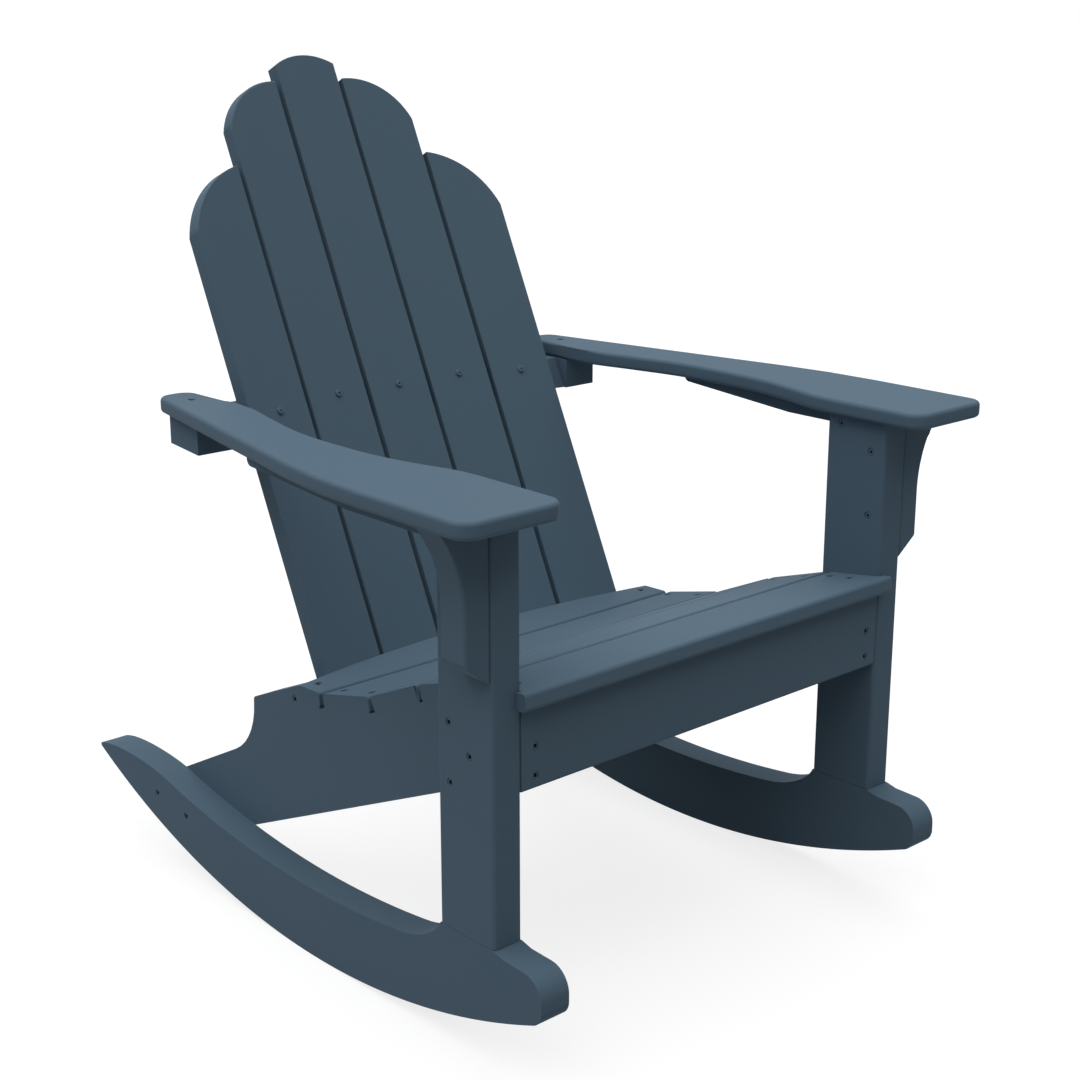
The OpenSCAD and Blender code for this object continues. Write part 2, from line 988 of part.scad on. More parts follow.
arm_rear_y = rail_rear_y + arm_tail;
arm_len = arm_rear_y + arm_overhang;
arm_outer_x = arm_span / 2;
arm_inner_x = arm_gap / 2;
// Inner edge: share of the length from the front, and share of the waist's depth
arm_edge_shares = [
    [0.19, 0], [0.24, 0.1], [0.31, 0.54], [0.395, 0.9], [0.5, 1], [0.6, 0.88],
    [0.706, 0.37], [0.81, -0.17], [0.9, -0.1]
];
// Place of the rear screw of an arm, ahead of the rear face of the upper rail
arm_screw_inset = 34.5;
// Distance of that screw inside the outer edge of the rear end
arm_screw_edge = 19;

module arm_screw_place() {
    translate([arm_tail_span / 2 - arm_screw_edge, rail_rear_y - arm_screw_inset, arm_h + board_t])
        children();
}

module arm_outline() {
    edge = through([
        for (share = arm_edge_shares)
            [arm_inner_x + share[1] * arm_waist, share[0] * arm_len - arm_overhang]
    ]);
    polygon(rounded(concat(
        sharp(edge),
        [
            [arm_inner_x, arm_rear_y, arm_tail_r],
            [arm_tail_span / 2, arm_rear_y, arm_tail_r],
            [arm_outer_x, arm_straight, 4 * arm_straight],
            [arm_outer_x, -arm_overhang, arm_r],
            [arm_inner_x, -arm_overhang, arm_r]
        ]
    )));
}

module arm() {
    color(lumber)
        difference() {
            translate([0, 0, arm_h])
                linear_extrude(board_t)
                    arm_outline();
            arm_screw_place()
                screw_hole(long_screw);
            support_screw_places()
                shank_hole(support_screw);
        }
}

module arm_left() {
    set_down()
        arm();
}

module arm_right() {
    mirror([1, 0, 0])
        arm_left();
}

module arm_screws() {
    set_down()
        both_sides()
            arm_screw_place()
                screw(long_screw);
}

// Brackets and supports under the arms

bracket_rear_y = bracket_set + frame_t;
flare_r = (flare_h * flare_h + flare_w * flare_w) / (2 * flare_w);
// Places of the screws up through a support: along its level part
support_screw_shares = [0.36, 0.88];

module support_screw_places() {
    for (share = support_screw_shares)
        translate([
            outer_x + frame_t / 2,
            bracket_rear_y + share * (support_taper_y - bracket_rear_y),
            arm_h - support_h
        ])
            mirror([0, 0, 1])
                children();
}

module bracket_outline() {
    face = outer_x + bracket_w;
    low = arm_h - bracket_h;
    difference() {
        polygon([
            [outer_x, low],
            [face, low + bracket_cut],
            [face, arm_h - flare_h],
            [face + flare_w, arm_h - flare_h],
            [face + flare_w, arm_h],
            [outer_x, arm_h]
        ]);
        translate([face + flare_r, arm_h - flare_h])
            circle(flare_r, $fn = 180);
    }
}

module arm_bracket() {
    color(lumber)
        difference() {
            along(bracket_set, bracket_rear_y)
                bracket_outline();
            bracket_screw_places()
                shank_hole(long_screw);
        }
}

module arm_bracket_left() {
    set_down()
        arm_bracket();
}

module arm_bracket_right() {
    mirror([1, 0, 0])
        arm_bracket_left();
}

module arm_support() {
    color(lumber)
        difference() {
            across(outer_x, outer_x + frame_t)
                polygon(rounded([
                    [bracket_rear_y, arm_h, 0],
                    [bracket_rear_y, arm_h - support_h, 0],
                    [support_taper_y, arm_h - support_h, 0],
                    [support_end_y, arm_h - support_end_h, support_r],
                    [support_end_y, arm_h, 0]
                ]));
            bracket_screw_places()
                shank_hole(long_screw);
            support_screw_places()
                screw_hole(support_screw);
        }
}

module arm_support_left() {
    set_down()
        arm_support();
}

module arm_support_right() {
    mirror([1, 0, 0])
        arm_support_left();
}

module arm_support_screws() {
    set_down()
        both_sides()
            support_screw_places()
                screw(support_screw);
}

rocker_left();
rocker_right();
leg_left();
leg_right();
leg_dowels();
stringer_left();
stringer_right();
front_apron();
for (i = [0:seat_last]) seat_slat(i);
arm_left();
arm_right();
arm_bracket_left();
arm_bracket_right();
arm_support_left();
arm_support_right();
upper_back_rail();
lower_back_rail();
for (k = [-2:2]) back_slat(k);
rocker_screws();
leg_screws();
bracket_screws();
apron_screws();
seat_screws();
arm_screws();
arm_support_screws();
upper_rail_screws();
lower_rail_screws();
back_side_screws();
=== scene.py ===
"""Looks of the rocking chair: rounded boards, detailed screws and dowels, floor, light and camera.

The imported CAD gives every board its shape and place. This script rounds the edges of the boards,
puts real screws and dowels where the CAD has plain ones, and gives each piece a procedural material.
"""

import logging
import math
from dataclasses import dataclass
from enum import Enum
from typing import Callable, Iterable

import bmesh
import bpy
import numpy as np
from mathutils import Matrix, Vector


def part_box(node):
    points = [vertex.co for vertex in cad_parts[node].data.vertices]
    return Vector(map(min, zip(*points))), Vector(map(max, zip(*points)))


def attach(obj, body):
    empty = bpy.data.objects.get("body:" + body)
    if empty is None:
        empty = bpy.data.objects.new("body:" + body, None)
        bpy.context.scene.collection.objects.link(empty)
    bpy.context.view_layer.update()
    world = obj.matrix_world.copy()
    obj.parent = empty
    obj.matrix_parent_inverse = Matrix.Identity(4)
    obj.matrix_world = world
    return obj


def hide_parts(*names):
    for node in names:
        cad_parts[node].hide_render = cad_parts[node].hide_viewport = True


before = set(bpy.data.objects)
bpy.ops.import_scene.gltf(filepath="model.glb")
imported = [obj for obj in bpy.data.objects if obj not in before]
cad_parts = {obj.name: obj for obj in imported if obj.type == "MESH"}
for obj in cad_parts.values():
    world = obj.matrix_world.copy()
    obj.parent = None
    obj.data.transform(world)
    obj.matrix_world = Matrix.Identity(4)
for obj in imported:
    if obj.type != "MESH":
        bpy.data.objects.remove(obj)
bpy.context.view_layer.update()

logging.basicConfig(level=logging.INFO, format="%(message)s")
log = logging.getLogger("chair")

MM = 0.001
BODY = "root"

# Tolerances: lengths and areas in metres, the angle in radians, the rest cosines
CLOSE = 0.01 * MM
END_BAND = 0.05 * MM
FLAT_ANGLE = math.radians(0.05)
FOLD_COSINE = -0.3
LEAST_FOLD_AREA = 1e-8
FACING = 0.9
LEVEL = 0.999

NOISE_MEAN = 0.5
WHITE = (1.0, 1.0, 1.0, 1.0)


# Shader maths


class Value:
    """One output of a shader node, with the arithmetic that adds the next nodes."""

    def __init__(self, graph: "Graph", socket: bpy.types.NodeSocket) -> None:
        """Keeps the graph that the output belongs to and the output itself."""
        self.graph = graph
        self.socket = socket

    def _math(self, operation: str, *others: "Value | float") -> "Value":
        """Returns the output of a Math node whose first input is this value."""
        inputs = {0: self, **{i + 1: other for i, other in enumerate(others)}}
        return self.graph.node("ShaderNodeMath", inputs, operation=operation)

    def __add__(self, other: "Value | float") -> "Value":
        """Returns the sum."""
        return self._math("ADD", other)

    def __sub__(self, other: "Value | float") -> "Value":
        """Returns the difference."""
        return self._math("SUBTRACT", other)

    def __mul__(self, other: "Value | float") -> "Value":
        """Returns the product."""
        return self._math("MULTIPLY", other)

    def __rsub__(self, other: float) -> "Value":
        """Returns a number less this value."""
        return self.graph.node("ShaderNodeMath", {0: other, 1: self}, operation="SUBTRACT")

    __radd__ = __add__
    __rmul__ = __mul__

    def __abs__(self) -> "Value":
        """Returns the value without its sign."""
        return self._math("ABSOLUTE")

    def swing(self, share: float) -> "Value":
        """Returns how far this noise is from its mean, times a share."""
        return (self - NOISE_MEAN) * share

    def ramp(self, low: float, high: float) -> "Value":
        """Returns 0 below low, 1 above high and a smooth step between them."""
        inputs = {"Value": self, "From Min": low, "From Max": high}
        return self.graph.node("ShaderNodeMapRange", inputs, interpolation_type="SMOOTHSTEP")

    def scaled(self, factor: "Value | float") -> "Value":
        """Returns this vector or colour times a factor."""
        return self.graph.node("ShaderNodeVectorMath", {0: self, "Scale": factor}, operation="SCALE")

    def dot(self, direction: Iterable[float]) -> "Value":
        """Returns the length of this vector along a unit direction."""
        settings = {"output": "Value", "operation": "DOT_PRODUCT"}
        return self.graph.node("ShaderNodeVectorMath", {0: self, 1: tuple(direction)}, **settings)


class Graph:
    """Node tree of one material."""

    def __init__(self, name: str) -> None:
        """Makes the material with an empty tree.

        Args:
            name: Name of the material.
        """
        self.material = bpy.data.materials.new(name)
        self.material.use_nodes = True
        self.tree = self.material.node_tree
        self.tree.nodes.clear()

    def node(
        self, kind: str, inputs: dict | None = None, output: str | int = 0, **settings: object
    ) -> Value:
        """Adds one node and joins its inputs.

        Args:
            kind: Blender's name for the node type.
            inputs: Values, numbers or tuples by the input's name or number.
            output: Name or number of the output that is returned.
            settings: Attributes to set on the node.

        Returns:
            The chosen output.
        """
        made = self.tree.nodes.new(kind)
        for key, value in settings.items():
            setattr(made, key, value)
        for key, value in (inputs or {}).items():
            if isinstance(value, Value):
                self.tree.links.new(value.socket, made.inputs[key])
            else:
                made.inputs[key].default_value = value
        return Value(self, made.outputs[output])

    def noise(self, place: Value, scale: float, detail: float) -> Value:
        """Returns noise with a number of cells to the metre and a number of finer layers."""
        return self.node("ShaderNodeTexNoise", {"Vector": place, "Scale": scale, "Detail": detail})

    def colour(self, colour: tuple[float, float, float]) -> Value:
        """Adds a constant colour.

        Args:
            colour: The colour, linear.

        Returns:
            The colour's output.
        """
        made = self.node("ShaderNodeRGB")
        made.socket.default_value = (*colour, 1.0)
        return made

    def finish(self, shader: Value) -> bpy.types.Material:
        """Joins the surface shader to the material's output.

        Args:
            shader: The surface shader.

        Returns:
            The material.
        """
        output = self.tree.nodes.new("ShaderNodeOutputMaterial")
        self.tree.links.new(shader.socket, output.inputs["Surface"])
        return self.material


# Finishes


class Run(Enum):
    """Direction that a board's grain runs in."""

    ACROSS = "across"
    ALONG = "along"
    UP = "up"
    BACK = "back"


@dataclass(frozen=True)
class Lumber:
    """Plastic lumber: coloured through, with a fine brushed grain along each board and sawn ends.

    Attributes:
        name: First part of the material's name.
        colour: Base colour, linear.
        roughness: Mean roughness of the faces.
        grain_depth: Height of the brushed grain, in metres.
        streak_share: Change of brightness from streak to streak.
        mottle_share: Slow change of brightness over a board.
        bump: Strength of the relief.
        specular: Level of the mirror-like reflection.
        stretch: Width of a noise cell as a share of its length along the grain.
        streak_scale: Fine streaks to the metre across the grain.
        streak_weight: Weight of the fine streaks in the grain.
        band_scale: Wide bands to the metre across the grain.
        band_weight: Weight of the wide bands in the grain.
        mottle_scale: Slow changes to the metre.
        pore_scale: Pores to the metre.
        sawn_from: Cosine to the grain at which a face begins to look sawn.
        sawn_to: Cosine to the grain from which a face looks fully sawn.
        sawn_lift: Extra brightness of sawn ends.
        sawn_loss: Share of the grain's relief that sawn ends lack.
        pore_height: Height of the pores on the faces.
        sawn_pores: Extra height of the pores on sawn ends.
        streak_roughness: Change of roughness from streak to streak.
        mottle_roughness: Slow change of roughness over a board.
        sawn_roughness: Extra roughness of sawn ends.
    """

    name: str
    colour: tuple[float, float, float]
    roughness: float = 0.68
    grain_depth: float = 0.05 * MM
    streak_share: float = 0.045
    mottle_share: float = 0.03
    bump: float = 0.4
    specular: float = 0.1
    stretch: float = 0.012
    streak_scale: float = 620.0
    streak_weight: float = 0.65
    band_scale: float = 95.0
    band_weight: float = 0.35
    mottle_scale: float = 7.0
    pore_scale: float = 1400.0
    sawn_from: float = 0.93
    sawn_to: float = 0.985
    sawn_lift: float = 0.04
    sawn_loss: float = 0.8
    pore_height: float = 0.12
    sawn_pores: float = 0.6
    streak_roughness: float = 0.12
    mottle_roughness: float = 0.08
    sawn_roughness: float = 0.12

    def material(self, run: Run, direction: Vector) -> bpy.types.Material:
        """Makes the material of the boards whose grain runs in one direction.

        Args:
            run: Name of the direction.
            direction: The direction itself, of unit length.

        Returns:
            The material.
        """
        g = Graph(f"{self.name}_{run.value}")
        place = g.node("ShaderNodeTexCoord", output="Object")
        normal = g.node("ShaderNodeTexCoord", output="Normal")
        turn = direction.to_track_quat("Z", "Y").inverted().to_euler()
        board = g.node("ShaderNodeMapping", {"Vector": place, "Rotation": turn})
        stretched = g.node("ShaderNodeMapping", {"Vector": board, "Scale": (1.0, 1.0, self.stretch)})
        streaks = g.noise(stretched, self.streak_scale, detail=3.0)
        bands = g.noise(stretched, self.band_scale, detail=2.0)
        mottle = g.noise(board, self.mottle_scale, detail=4.0)
        pores = g.noise(board, self.pore_scale, detail=1.0)
        sawn = abs(normal.dot(direction)).ramp(self.sawn_from, self.sawn_to)
        grain = streaks * self.streak_weight + bands * self.band_weight
        shade = (
            1.0
            + grain.swing(self.streak_share)
            + mottle.swing(self.mottle_share)
            + self.sawn_lift * sawn
        )
        relief = grain * (1.0 - self.sawn_loss * sawn)
        height = relief + pores * (self.pore_height + self.sawn_pores * sawn)
        bump_inputs = {"Height": height, "Strength": self.bump, "Distance": self.grain_depth}
        roughness = (
            self.roughness
            + grain.swing(self.streak_roughness)
            + mottle.swing(self.mottle_roughness)
            + self.sawn_roughness * sawn
        )
        shader = g.node(
            "ShaderNodeBsdfPrincipled",
            {
                "Base Color": g.colour(self.colour).scaled(shade),
                "Roughness": roughness,
                "Normal": g.node("ShaderNodeBump", bump_inputs),
                "Specular IOR Level": self.specular,
            },
        )
        return g.finish(shader)


@dataclass(frozen=True)
class Steel:
    """Coated steel of the screws, with fine turning marks.

    Attributes:
        name: Name of the material.
        colour: Base colour, linear.
        roughness: Mean roughness.
        metallic: Share of bare metal in the look.
        specular: Level of the mirror-like reflection.
        speckle_scale: Fine marks to the metre.
        speckle_share: Change of roughness from mark to mark.
        wear_scale: Worn spots to the metre.
        wear_share: Change of brightness from spot to spot.
        bump: Strength of the relief.
        bump_depth: Height of the relief, in metres.
    """

    name: str
    colour: tuple[float, float, float]
    roughness: float = 0.6
    metallic: float = 0.12
    specular: float = 0.2
    speckle_scale: float = 2600.0
    speckle_share: float = 0.2
    wear_scale: float = 420.0
    wear_share: float = 0.3
    bump: float = 0.3
    bump_depth: float = 0.03 * MM

    def material(self) -> bpy.types.Material:
        """Makes the material.

        Returns:
            The material.
        """
        g = Graph(self.name)
        place = g.node("ShaderNodeTexCoord", output="Object")
        speckle = g.noise(place, self.speckle_scale, detail=2.0)
        wear = g.noise(place, self.wear_scale, detail=3.0)
        bump_inputs = {"Height": speckle, "Strength": self.bump, "Distance": self.bump_depth}
        shader = g.node(
            "ShaderNodeBsdfPrincipled",
            {
                "Base Color": g.colour(self.colour).scaled(1.0 + wear.swing(self.wear_share)),
                "Roughness": self.roughness + speckle.swing(self.speckle_share),
                "Specular IOR Level": self.specular,
                "Metallic": self.metallic,
                "Normal": g.node("ShaderNodeBump", bump_inputs),
            },
        )
        return g.finish(shader)


@dataclass(frozen=True)
class Beech:
    """Pale turned wood of the dowels.

    Attributes:
        name: Name of the material.
        colour: Base colour, linear.
        roughness: Least roughness.
        fibre_roughness: Change of roughness from fibre to fibre.
        stretch: Width of a noise cell as a share of its length along the dowel.
        fibre_scale: Fibres to the metre.
        fibre_share: Change of brightness from fibre to fibre.
        fleck_scale: Flecks to the metre.
        fleck_from: Noise at which a fleck begins.
        fleck_to: Noise from which a fleck is full.
        fleck_share: Brightness that a fleck takes away.
        bump: Strength of the relief.
        bump_depth: Height of the relief, in metres.
    """

    name: str
    colour: tuple[float, float, float]
    roughness: float = 0.5
    fibre_roughness: float = 0.2
    stretch: float = 0.06
    fibre_scale: float = 900.0
    fibre_share: float = 0.35
    fleck_scale: float = 260.0
    fleck_from: float = 0.62
    fleck_to: float = 0.7
    fleck_share: float = 0.2
    bump: float = 0.5
    bump_depth: float = 0.05 * MM

    def material(self) -> bpy.types.Material:
        """Makes the material.

        Returns:
            The material.
        """
        g = Graph(self.name)
        place = g.node("ShaderNodeTexCoord", output="Object")
        stretched = g.node("ShaderNodeMapping", {"Vector": place, "Scale": (1.0, 1.0, self.stretch)})
        fibre = g.noise(stretched, self.fibre_scale, detail=4.0)
        flecks = g.noise(stretched, self.fleck_scale, detail=2.0).ramp(self.fleck_from, self.fleck_to)
        shade = 1.0 + fibre.swing(self.fibre_share) - self.fleck_share * flecks
        bump_inputs = {"Height": fibre, "Strength": self.bump, "Distance": self.bump_depth}
        shader = g.node(
            "ShaderNodeBsdfPrincipled",
            {
                "Base Color": g.colour(self.colour).scaled(shade),
                "Roughness": self.roughness + self.fibre_roughness * fibre,
                "Normal": g.node("ShaderNodeBump", bump_inputs),
            },
        )
        return g.finish(shader)


BLUE = (0.089, 0.142, 0.193)
FRAME_LUMBER = Lumber("frame_lumber", BLUE)
SLAT_LUMBER = Lumber("slat_lumber", BLUE)
ARM_LUMBER = Lumber("arm_lumber", BLUE)
SCREW_COAT = Steel("screw_coat", (0.077, 0.122, 0.166))
# The recess material is near-black painted shade that darkens the drive recesses where shadow falls,
# not a coating of the steel.
SCREW_RECESS_SHADE = Steel("screw_recess_painted_shade", (0.006, 0.009, 0.013), roughness=0.8, metallic=0.05)
DOWEL_WOOD = Beech("dowel_wood", (0.48, 0.32, 0.17))


# Mesh helpers


def merged_copy(node: str, name: str) -> bpy.types.Object:
    """Copies a CAD node's mesh into a new object, with split corners merged and flat faces joined.

    Args:
        node: Name of the CAD node.
        name: Name of the new object.

    Returns:
        The new object, selected and active.
    """
    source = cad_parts[node]
    copy = bpy.data.objects.new(name, source.data.copy())
    bpy.context.scene.collection.objects.link(copy)
    bpy.ops.object.select_all(action="DESELECT")
    copy.select_set(True)
    bpy.context.view_layer.objects.active = copy
    bpy.ops.object.mode_set(mode="EDIT")
    bpy.ops.mesh.select_all(action="SELECT")
    bpy.ops.mesh.remove_doubles(threshold=CLOSE)
    bpy.ops.mesh.customdata_custom_splitnormals_clear()
    bpy.ops.mesh.dissolve_limited(angle_limit=FLAT_ANGLE, use_dissolve_boundaries=False)
    bpy.ops.object.mode_set(mode="OBJECT")
    copy.data.materials.clear()
    return copy


def edge_groups(mesh: bmesh.types.BMesh, limit: float) -> list[list[bmesh.types.BMEdge]]:
    """Groups the sharp edges of a mesh into connected outlines.

    Args:
        mesh: The mesh.
        limit: Smallest angle between an edge's faces, in radians.

    Returns:
        Lists of edges, one for each connected outline.
    """
    joined = (e for e in mesh.edges if len(e.link_faces) == 2)
    sharp = dict.fromkeys(e for e in joined if e.calc_face_angle(0.0) > limit)
    groups = []
    while sharp:
        queue = [sharp.popitem()[0]]
        group = []
        while queue:
            edge = queue.pop()
            group.append(edge)
            for vert in edge.verts:
                for other in vert.link_edges:
                    if other in sharp:
                        del sharp[other]
                        queue.append(other)
        groups.append(group)
    return groups


def span(edges: list[bmesh.types.BMEdge]) -> float:
    """Returns the largest distance that a group of edges reaches along an axis."""
    places = np.array([v.co for e in edges for v in e.verts])
    return float((places.max(axis=0) - places.min(axis=0)).max())


def folds(mesh: bpy.types.Mesh) -> np.ndarray:
    """Finds where a surface turns back on itself.

    Args:
        mesh: The mesh.

    Returns:
        The places, one to a row.
    """
    work = bmesh.new()
    work.from_mesh(mesh)
    places = [
        (e.verts[0].co + e.verts[1].co) / 2
        for e in work.edges
        if len(e.link_faces) == 2
        and e.link_faces[0].normal.dot(e.link_faces[1].normal) < FOLD_COSINE
        and min(f.calc_area() for f in e.link_faces) > LEAST_FOLD_AREA
    ]
    work.free()
    return np.array(places).reshape(-1, 3)


def main_direction(node: str) -> Vector:
    """Finds the direction in which a CAD node is longest.

    Args:
        node: Name of the CAD node.

    Returns:
        The direction, pointing up or back.
    """
    places = np.array([v.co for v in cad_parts[node].data.vertices])
    places = places - places.mean(axis=0)
    direction = Vector(np.linalg.svd(places, full_matrices=False)[2][0])
    return direction if direction.y + direction.z > 0 else -direction


# Sub-assemblies


@dataclass
class Board:
    """One board: the CAD solid with rounded edges.

    Attributes:
        node: CAD node that the board stands for.
        finish: Lumber that it is cut from.
        run: Direction of its grain.
        radius: Radius of the rounding, in metres.
        slot: Material slot of the record; not used.
        hole_span: Outlines that reach less far than this are rims of holes.
        sharp_angle: Smallest angle of an edge that is rounded.
        arris: Radius at the rims of holes.
        attempts: How often tight places may be eased.
        ease_reach: Distance from a fold to the edges that are eased, in radii.
        ease_share: Share of an edge's weight that one easing leaves.
        segments: Facets across a rounding.
        flatness: How strongly large faces keep their own normal, up to 100.
    """

    node: str
    finish: Lumber
    run: Run
    radius: float
    slot: str
    hole_span: float = 20 * MM
    sharp_angle: float = math.radians(32)
    arris: float = 0.4 * MM
    attempts: int = 10
    ease_reach: float = 3.0
    ease_share: float = 0.5
    segments: int = 4
    flatness: int = 100

    def weight(self, edge: bmesh.types.BMEdge) -> float:
        """Returns the share of the radius that an outline edge is rounded by."""
        return 1.0

    def build(self, materials: "Palette") -> bpy.types.Object:
        """Makes the board.

        Args:
            materials: Palette that gives the board its material.

        Returns:
            The board.
        """
        board = merged_copy(self.node, f"{self.node}_board")
        self.mark_edges(board)
        is_clear = self.ease_tight_places(board)
        self.round_edges(board, clamp=not is_clear)
        bpy.ops.object.shade_smooth_by_angle(angle=self.sharp_angle)
        flatten = board.modifiers.new("flat_faces", "WEIGHTED_NORMAL")
        flatten.keep_sharp = True
        flatten.weight = self.flatness
        bpy.ops.object.modifier_apply(modifier=flatten.name)
        board.data.materials.append(materials.lumber(self.finish, self.run))
        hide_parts(self.node)
        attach(board, BODY)
        return board

    def round_edges(self, board: bpy.types.Object, clamp: bool = False) -> None:
        """Rounds the weighted edges of an object.

        Args:
            board: The object, active.
            clamp: Whether the whole rounding shrinks until nothing overlaps.
        """
        rounding = board.modifiers.new("rounding", "BEVEL")
        rounding.limit_method = "WEIGHT"
        rounding.width = self.radius
        rounding.segments = self.segments
        rounding.use_clamp_overlap = clamp
        rounding.miter_outer = "MITER_ARC"
        bpy.ops.object.modifier_apply(modifier=rounding.name)

    def ease_tight_places(self, board: bpy.types.Object) -> bool:
        """Lowers the edges' weights where the full radius would fold the surface over itself.

        Args:
            board: The board with weighted edges, active.

        Returns:
            Whether no fold is left.
        """
        mesh = board.data
        weights = mesh.attributes["bevel_weight_edge"].data
        corners = np.array([v.co for v in mesh.vertices])
        ends = corners[np.array([tuple(e.vertices) for e in mesh.edges])]
        for attempt in range(self.attempts):
            trial = board.copy()
            trial.data = mesh.copy()
            bpy.context.scene.collection.objects.link(trial)
            bpy.context.view_layer.objects.active = trial
            self.round_edges(trial)
            spots = folds(trial.data)
            bpy.data.meshes.remove(trial.data)
            if len(spots) == 0:
                bpy.context.view_layer.objects.active = board
                return True
            places = ends.mean(axis=1, keepdims=True) if attempt < self.attempts // 2 else ends
            gaps = np.linalg.norm(places[:, :, None, :] - spots[None, None], axis=3).min(axis=(1, 2))
            for index in np.nonzero(gaps < self.ease_reach * self.radius)[0]:
                weights[index].value *= self.ease_share
        bpy.context.view_layer.objects.active = board
        return False

    def mark_edges(self, board: bpy.types.Object) -> None:
        """Weights the edges for the rounding: the outline fully, the rims of holes barely.

        Args:
            board: The board.
        """
        mesh = bmesh.new()
        mesh.from_mesh(board.data)
        weights = mesh.edges.layers.float.new("bevel_weight_edge")
        for group in edge_groups(mesh, self.sharp_angle):
            is_hole = span(group) < self.hole_span
            for edge in group:
                edge[weights] = self.arris / self.radius if is_hole else self.weight(edge)
        mesh.to_mesh(board.data)
        mesh.free()


@dataclass
class BackBoard(Board):
    """A board of the back: its grooves have small roundings, its top and outer side large ones.

    Attributes:
        groove_share: Share of the radius along the grooves.
        long_share: Share of the board's height from which an edge counts as long.
        attempts: None, because the rounding of these boards shrinks as a whole.
    """

    groove_share: float = 0.5
    long_share: float = 0.3
    attempts: int = 0

    def weight(self, edge: bmesh.types.BMEdge) -> float:
        """Weights long edges beside a neighbour less than the others.

        Args:
            edge: An edge of the board's outline.

        Returns:
            The share of the radius.
        """
        low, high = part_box(self.node)
        middle = (low.x + high.x) / 2
        is_long = edge.calc_length() > self.long_share * (high.z - low.z)
        outer_right = self.node.endswith("_1") and all(v.co.x < middle for v in edge.verts)
        outer_left = self.node.endswith("_5") and all(v.co.x > middle for v in edge.verts)
        return self.groove_share if is_long and not (outer_left or outer_right) else 1.0


@dataclass
class SeatBoard(Board):
    """A board of the seat: soft along its top face, crisp below and where it sits in the stringers.

    Attributes:
        crisp_share: Share of the radius away from the top face.
        top_cosine: Least cosine to the upright of a face that belongs to the top.
    """

    crisp_share: float = 0.2
    top_cosine: float = 0.7

    def weight(self, edge: bmesh.types.BMEdge) -> float:
        """Returns the full share for edges of the top face and a small one elsewhere."""
        is_top = any(f.normal.z > self.top_cosine for f in edge.link_faces)
        return 1.0 if is_top else self.crisp_share


@dataclass
class Bracket(Board):
    """A bracket under an arm, whose lower end is cut off crisply.

    Attributes:
        crisp_share: Share of the radius round the lower end.
        end_cosine: Largest cosine to the upright of a face that belongs to the lower end.
    """

    crisp_share: float = 0.2
    end_cosine: float = -0.4

    def weight(self, edge: bmesh.types.BMEdge) -> float:
        """Weights edges of the lower end less than the others.

        Args:
            edge: An edge of the bracket's outline.

        Returns:
            The share of the radius.
        """
        low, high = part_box(self.node)
        outward = math.copysign(1.0, low.x + high.x)
        is_end = any(f.normal.z < self.end_cosine for f in edge.link_faces)
        is_outer = any(f.normal.x * outward > FACING for f in edge.link_faces)
        return self.crisp_share if is_end and not is_outer else 1.0


def islands(node: str) -> list[np.ndarray]:
    """Finds the separate solids of a CAD node.

    Args:
        node: Name of the CAD node.

    Returns:
        The corners of each solid, one to a row.
    """
    mesh = bmesh.new()
    mesh.from_mesh(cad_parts[node].data)
    bmesh.ops.remove_doubles(mesh, verts=mesh.verts, dist=CLOSE)
    waiting = dict.fromkeys(mesh.verts)
    solids = []
    while waiting:
        queue = [waiting.popitem()[0]]
        places = []
        while queue:
            vert = queue.pop()
            places.append(tuple(vert.co))
            for edge in vert.link_edges:
                other = edge.other_vert(vert)
                if other in waiting:
                    del waiting[other]
                    queue.append(other)
        solids.append(np.array(places))
    mesh.free()
    return solids


@dataclass
class PinPlace:
    """Where a screw or dowel sits.

    Attributes:
        top: Middle of its outer end.
        axis: Unit vector out of the board, along the pin.
        length: Length of the pin.
    """

    top: Vector
    axis: Vector
    length: float

    @classmethod
    def of(cls, places: np.ndarray) -> "PinPlace":
        """Finds the place of one pin.

        Args:
            places: Corners of its solid.

        Returns:
            The place, with the axis pointing to the thicker end.
        """
        middle = places.mean(axis=0)
        axis = np.linalg.svd(places - middle, full_matrices=False)[2][0]
        along = (places - middle) @ axis
        reach = np.linalg.norm(places - middle - np.outer(along, axis), axis=1)
        if along[reach > reach.max() - END_BAND].mean() < 0:
            axis, along = -axis, -along
        top = places[along > along.max() - END_BAND].mean(axis=0)
        tip = places[along < along.min() + END_BAND].mean(axis=0)
        way = Vector(top - tip)
        return cls(Vector(top), way.normalized(), way.length)

    def matrix(self) -> Matrix:
        """Returns the turn and shift that bring a pin drawn down from the origin here."""
        return Matrix.Translation(self.top) @ self.axis.to_track_quat("Z", "Y").to_matrix().to_4x4()


def select_faces(mesh: bmesh.types.BMesh, wanted: Callable[[bmesh.types.BMFace], bool]) -> None:
    """Selects the faces that pass a test, and nothing else.

    Args:
        mesh: The mesh.
        wanted: The test.
    """
    for part in (*mesh.faces, *mesh.edges, *mesh.verts):
        part.select_set(False)
    for face in mesh.faces:
        if wanted(face):
            face.select_set(True)


